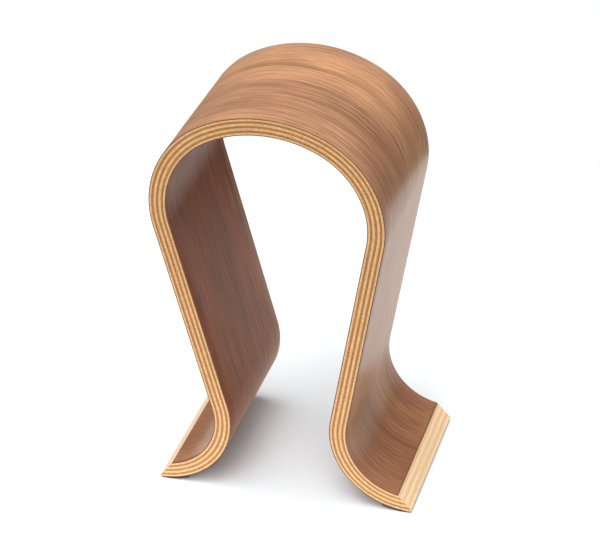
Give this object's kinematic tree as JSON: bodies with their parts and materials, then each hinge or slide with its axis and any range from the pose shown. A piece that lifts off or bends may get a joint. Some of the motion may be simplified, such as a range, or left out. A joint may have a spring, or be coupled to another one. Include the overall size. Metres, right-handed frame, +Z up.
{
  "type": "headphone stand",
  "caption": "Desk stand for over ear headphones, bent in one strip from walnut-faced plywood to an omega-shaped arch with outturned feet on rubber pads.",
  "frame": {"origin": "on the table, midway between the feet and midway along the strip's width", "axes": "+X across the stand towards its right foot, +Y along the strip's width towards its back edge, +Z up"},
  "size_m": [0.1608, 0.1, 0.2576],
  "materials": {
    "walnut_veneer": "satin lacquer",
    "long_grain_ply": "sanded, clear lacquer",
    "cross_grain_ply": "sanded, clear lacquer",
    "pad_rubber": "matt"
  },
  "bodies": {
    "root": {"outer_walnut_veneer": "walnut_veneer", "core_ply_1": "long_grain_ply", "core_ply_2": "cross_grain_ply", "core_ply_3": "long_grain_ply", "core_ply_4": "cross_grain_ply", "core_ply_5": "long_grain_ply", "core_ply_6": "cross_grain_ply", "core_ply_7": "long_grain_ply", "inner_walnut_veneer": "walnut_veneer", "foot_pad_left": "pad_rubber", "foot_pad_right": "pad_rubber"}
  },
  "joints": []
}
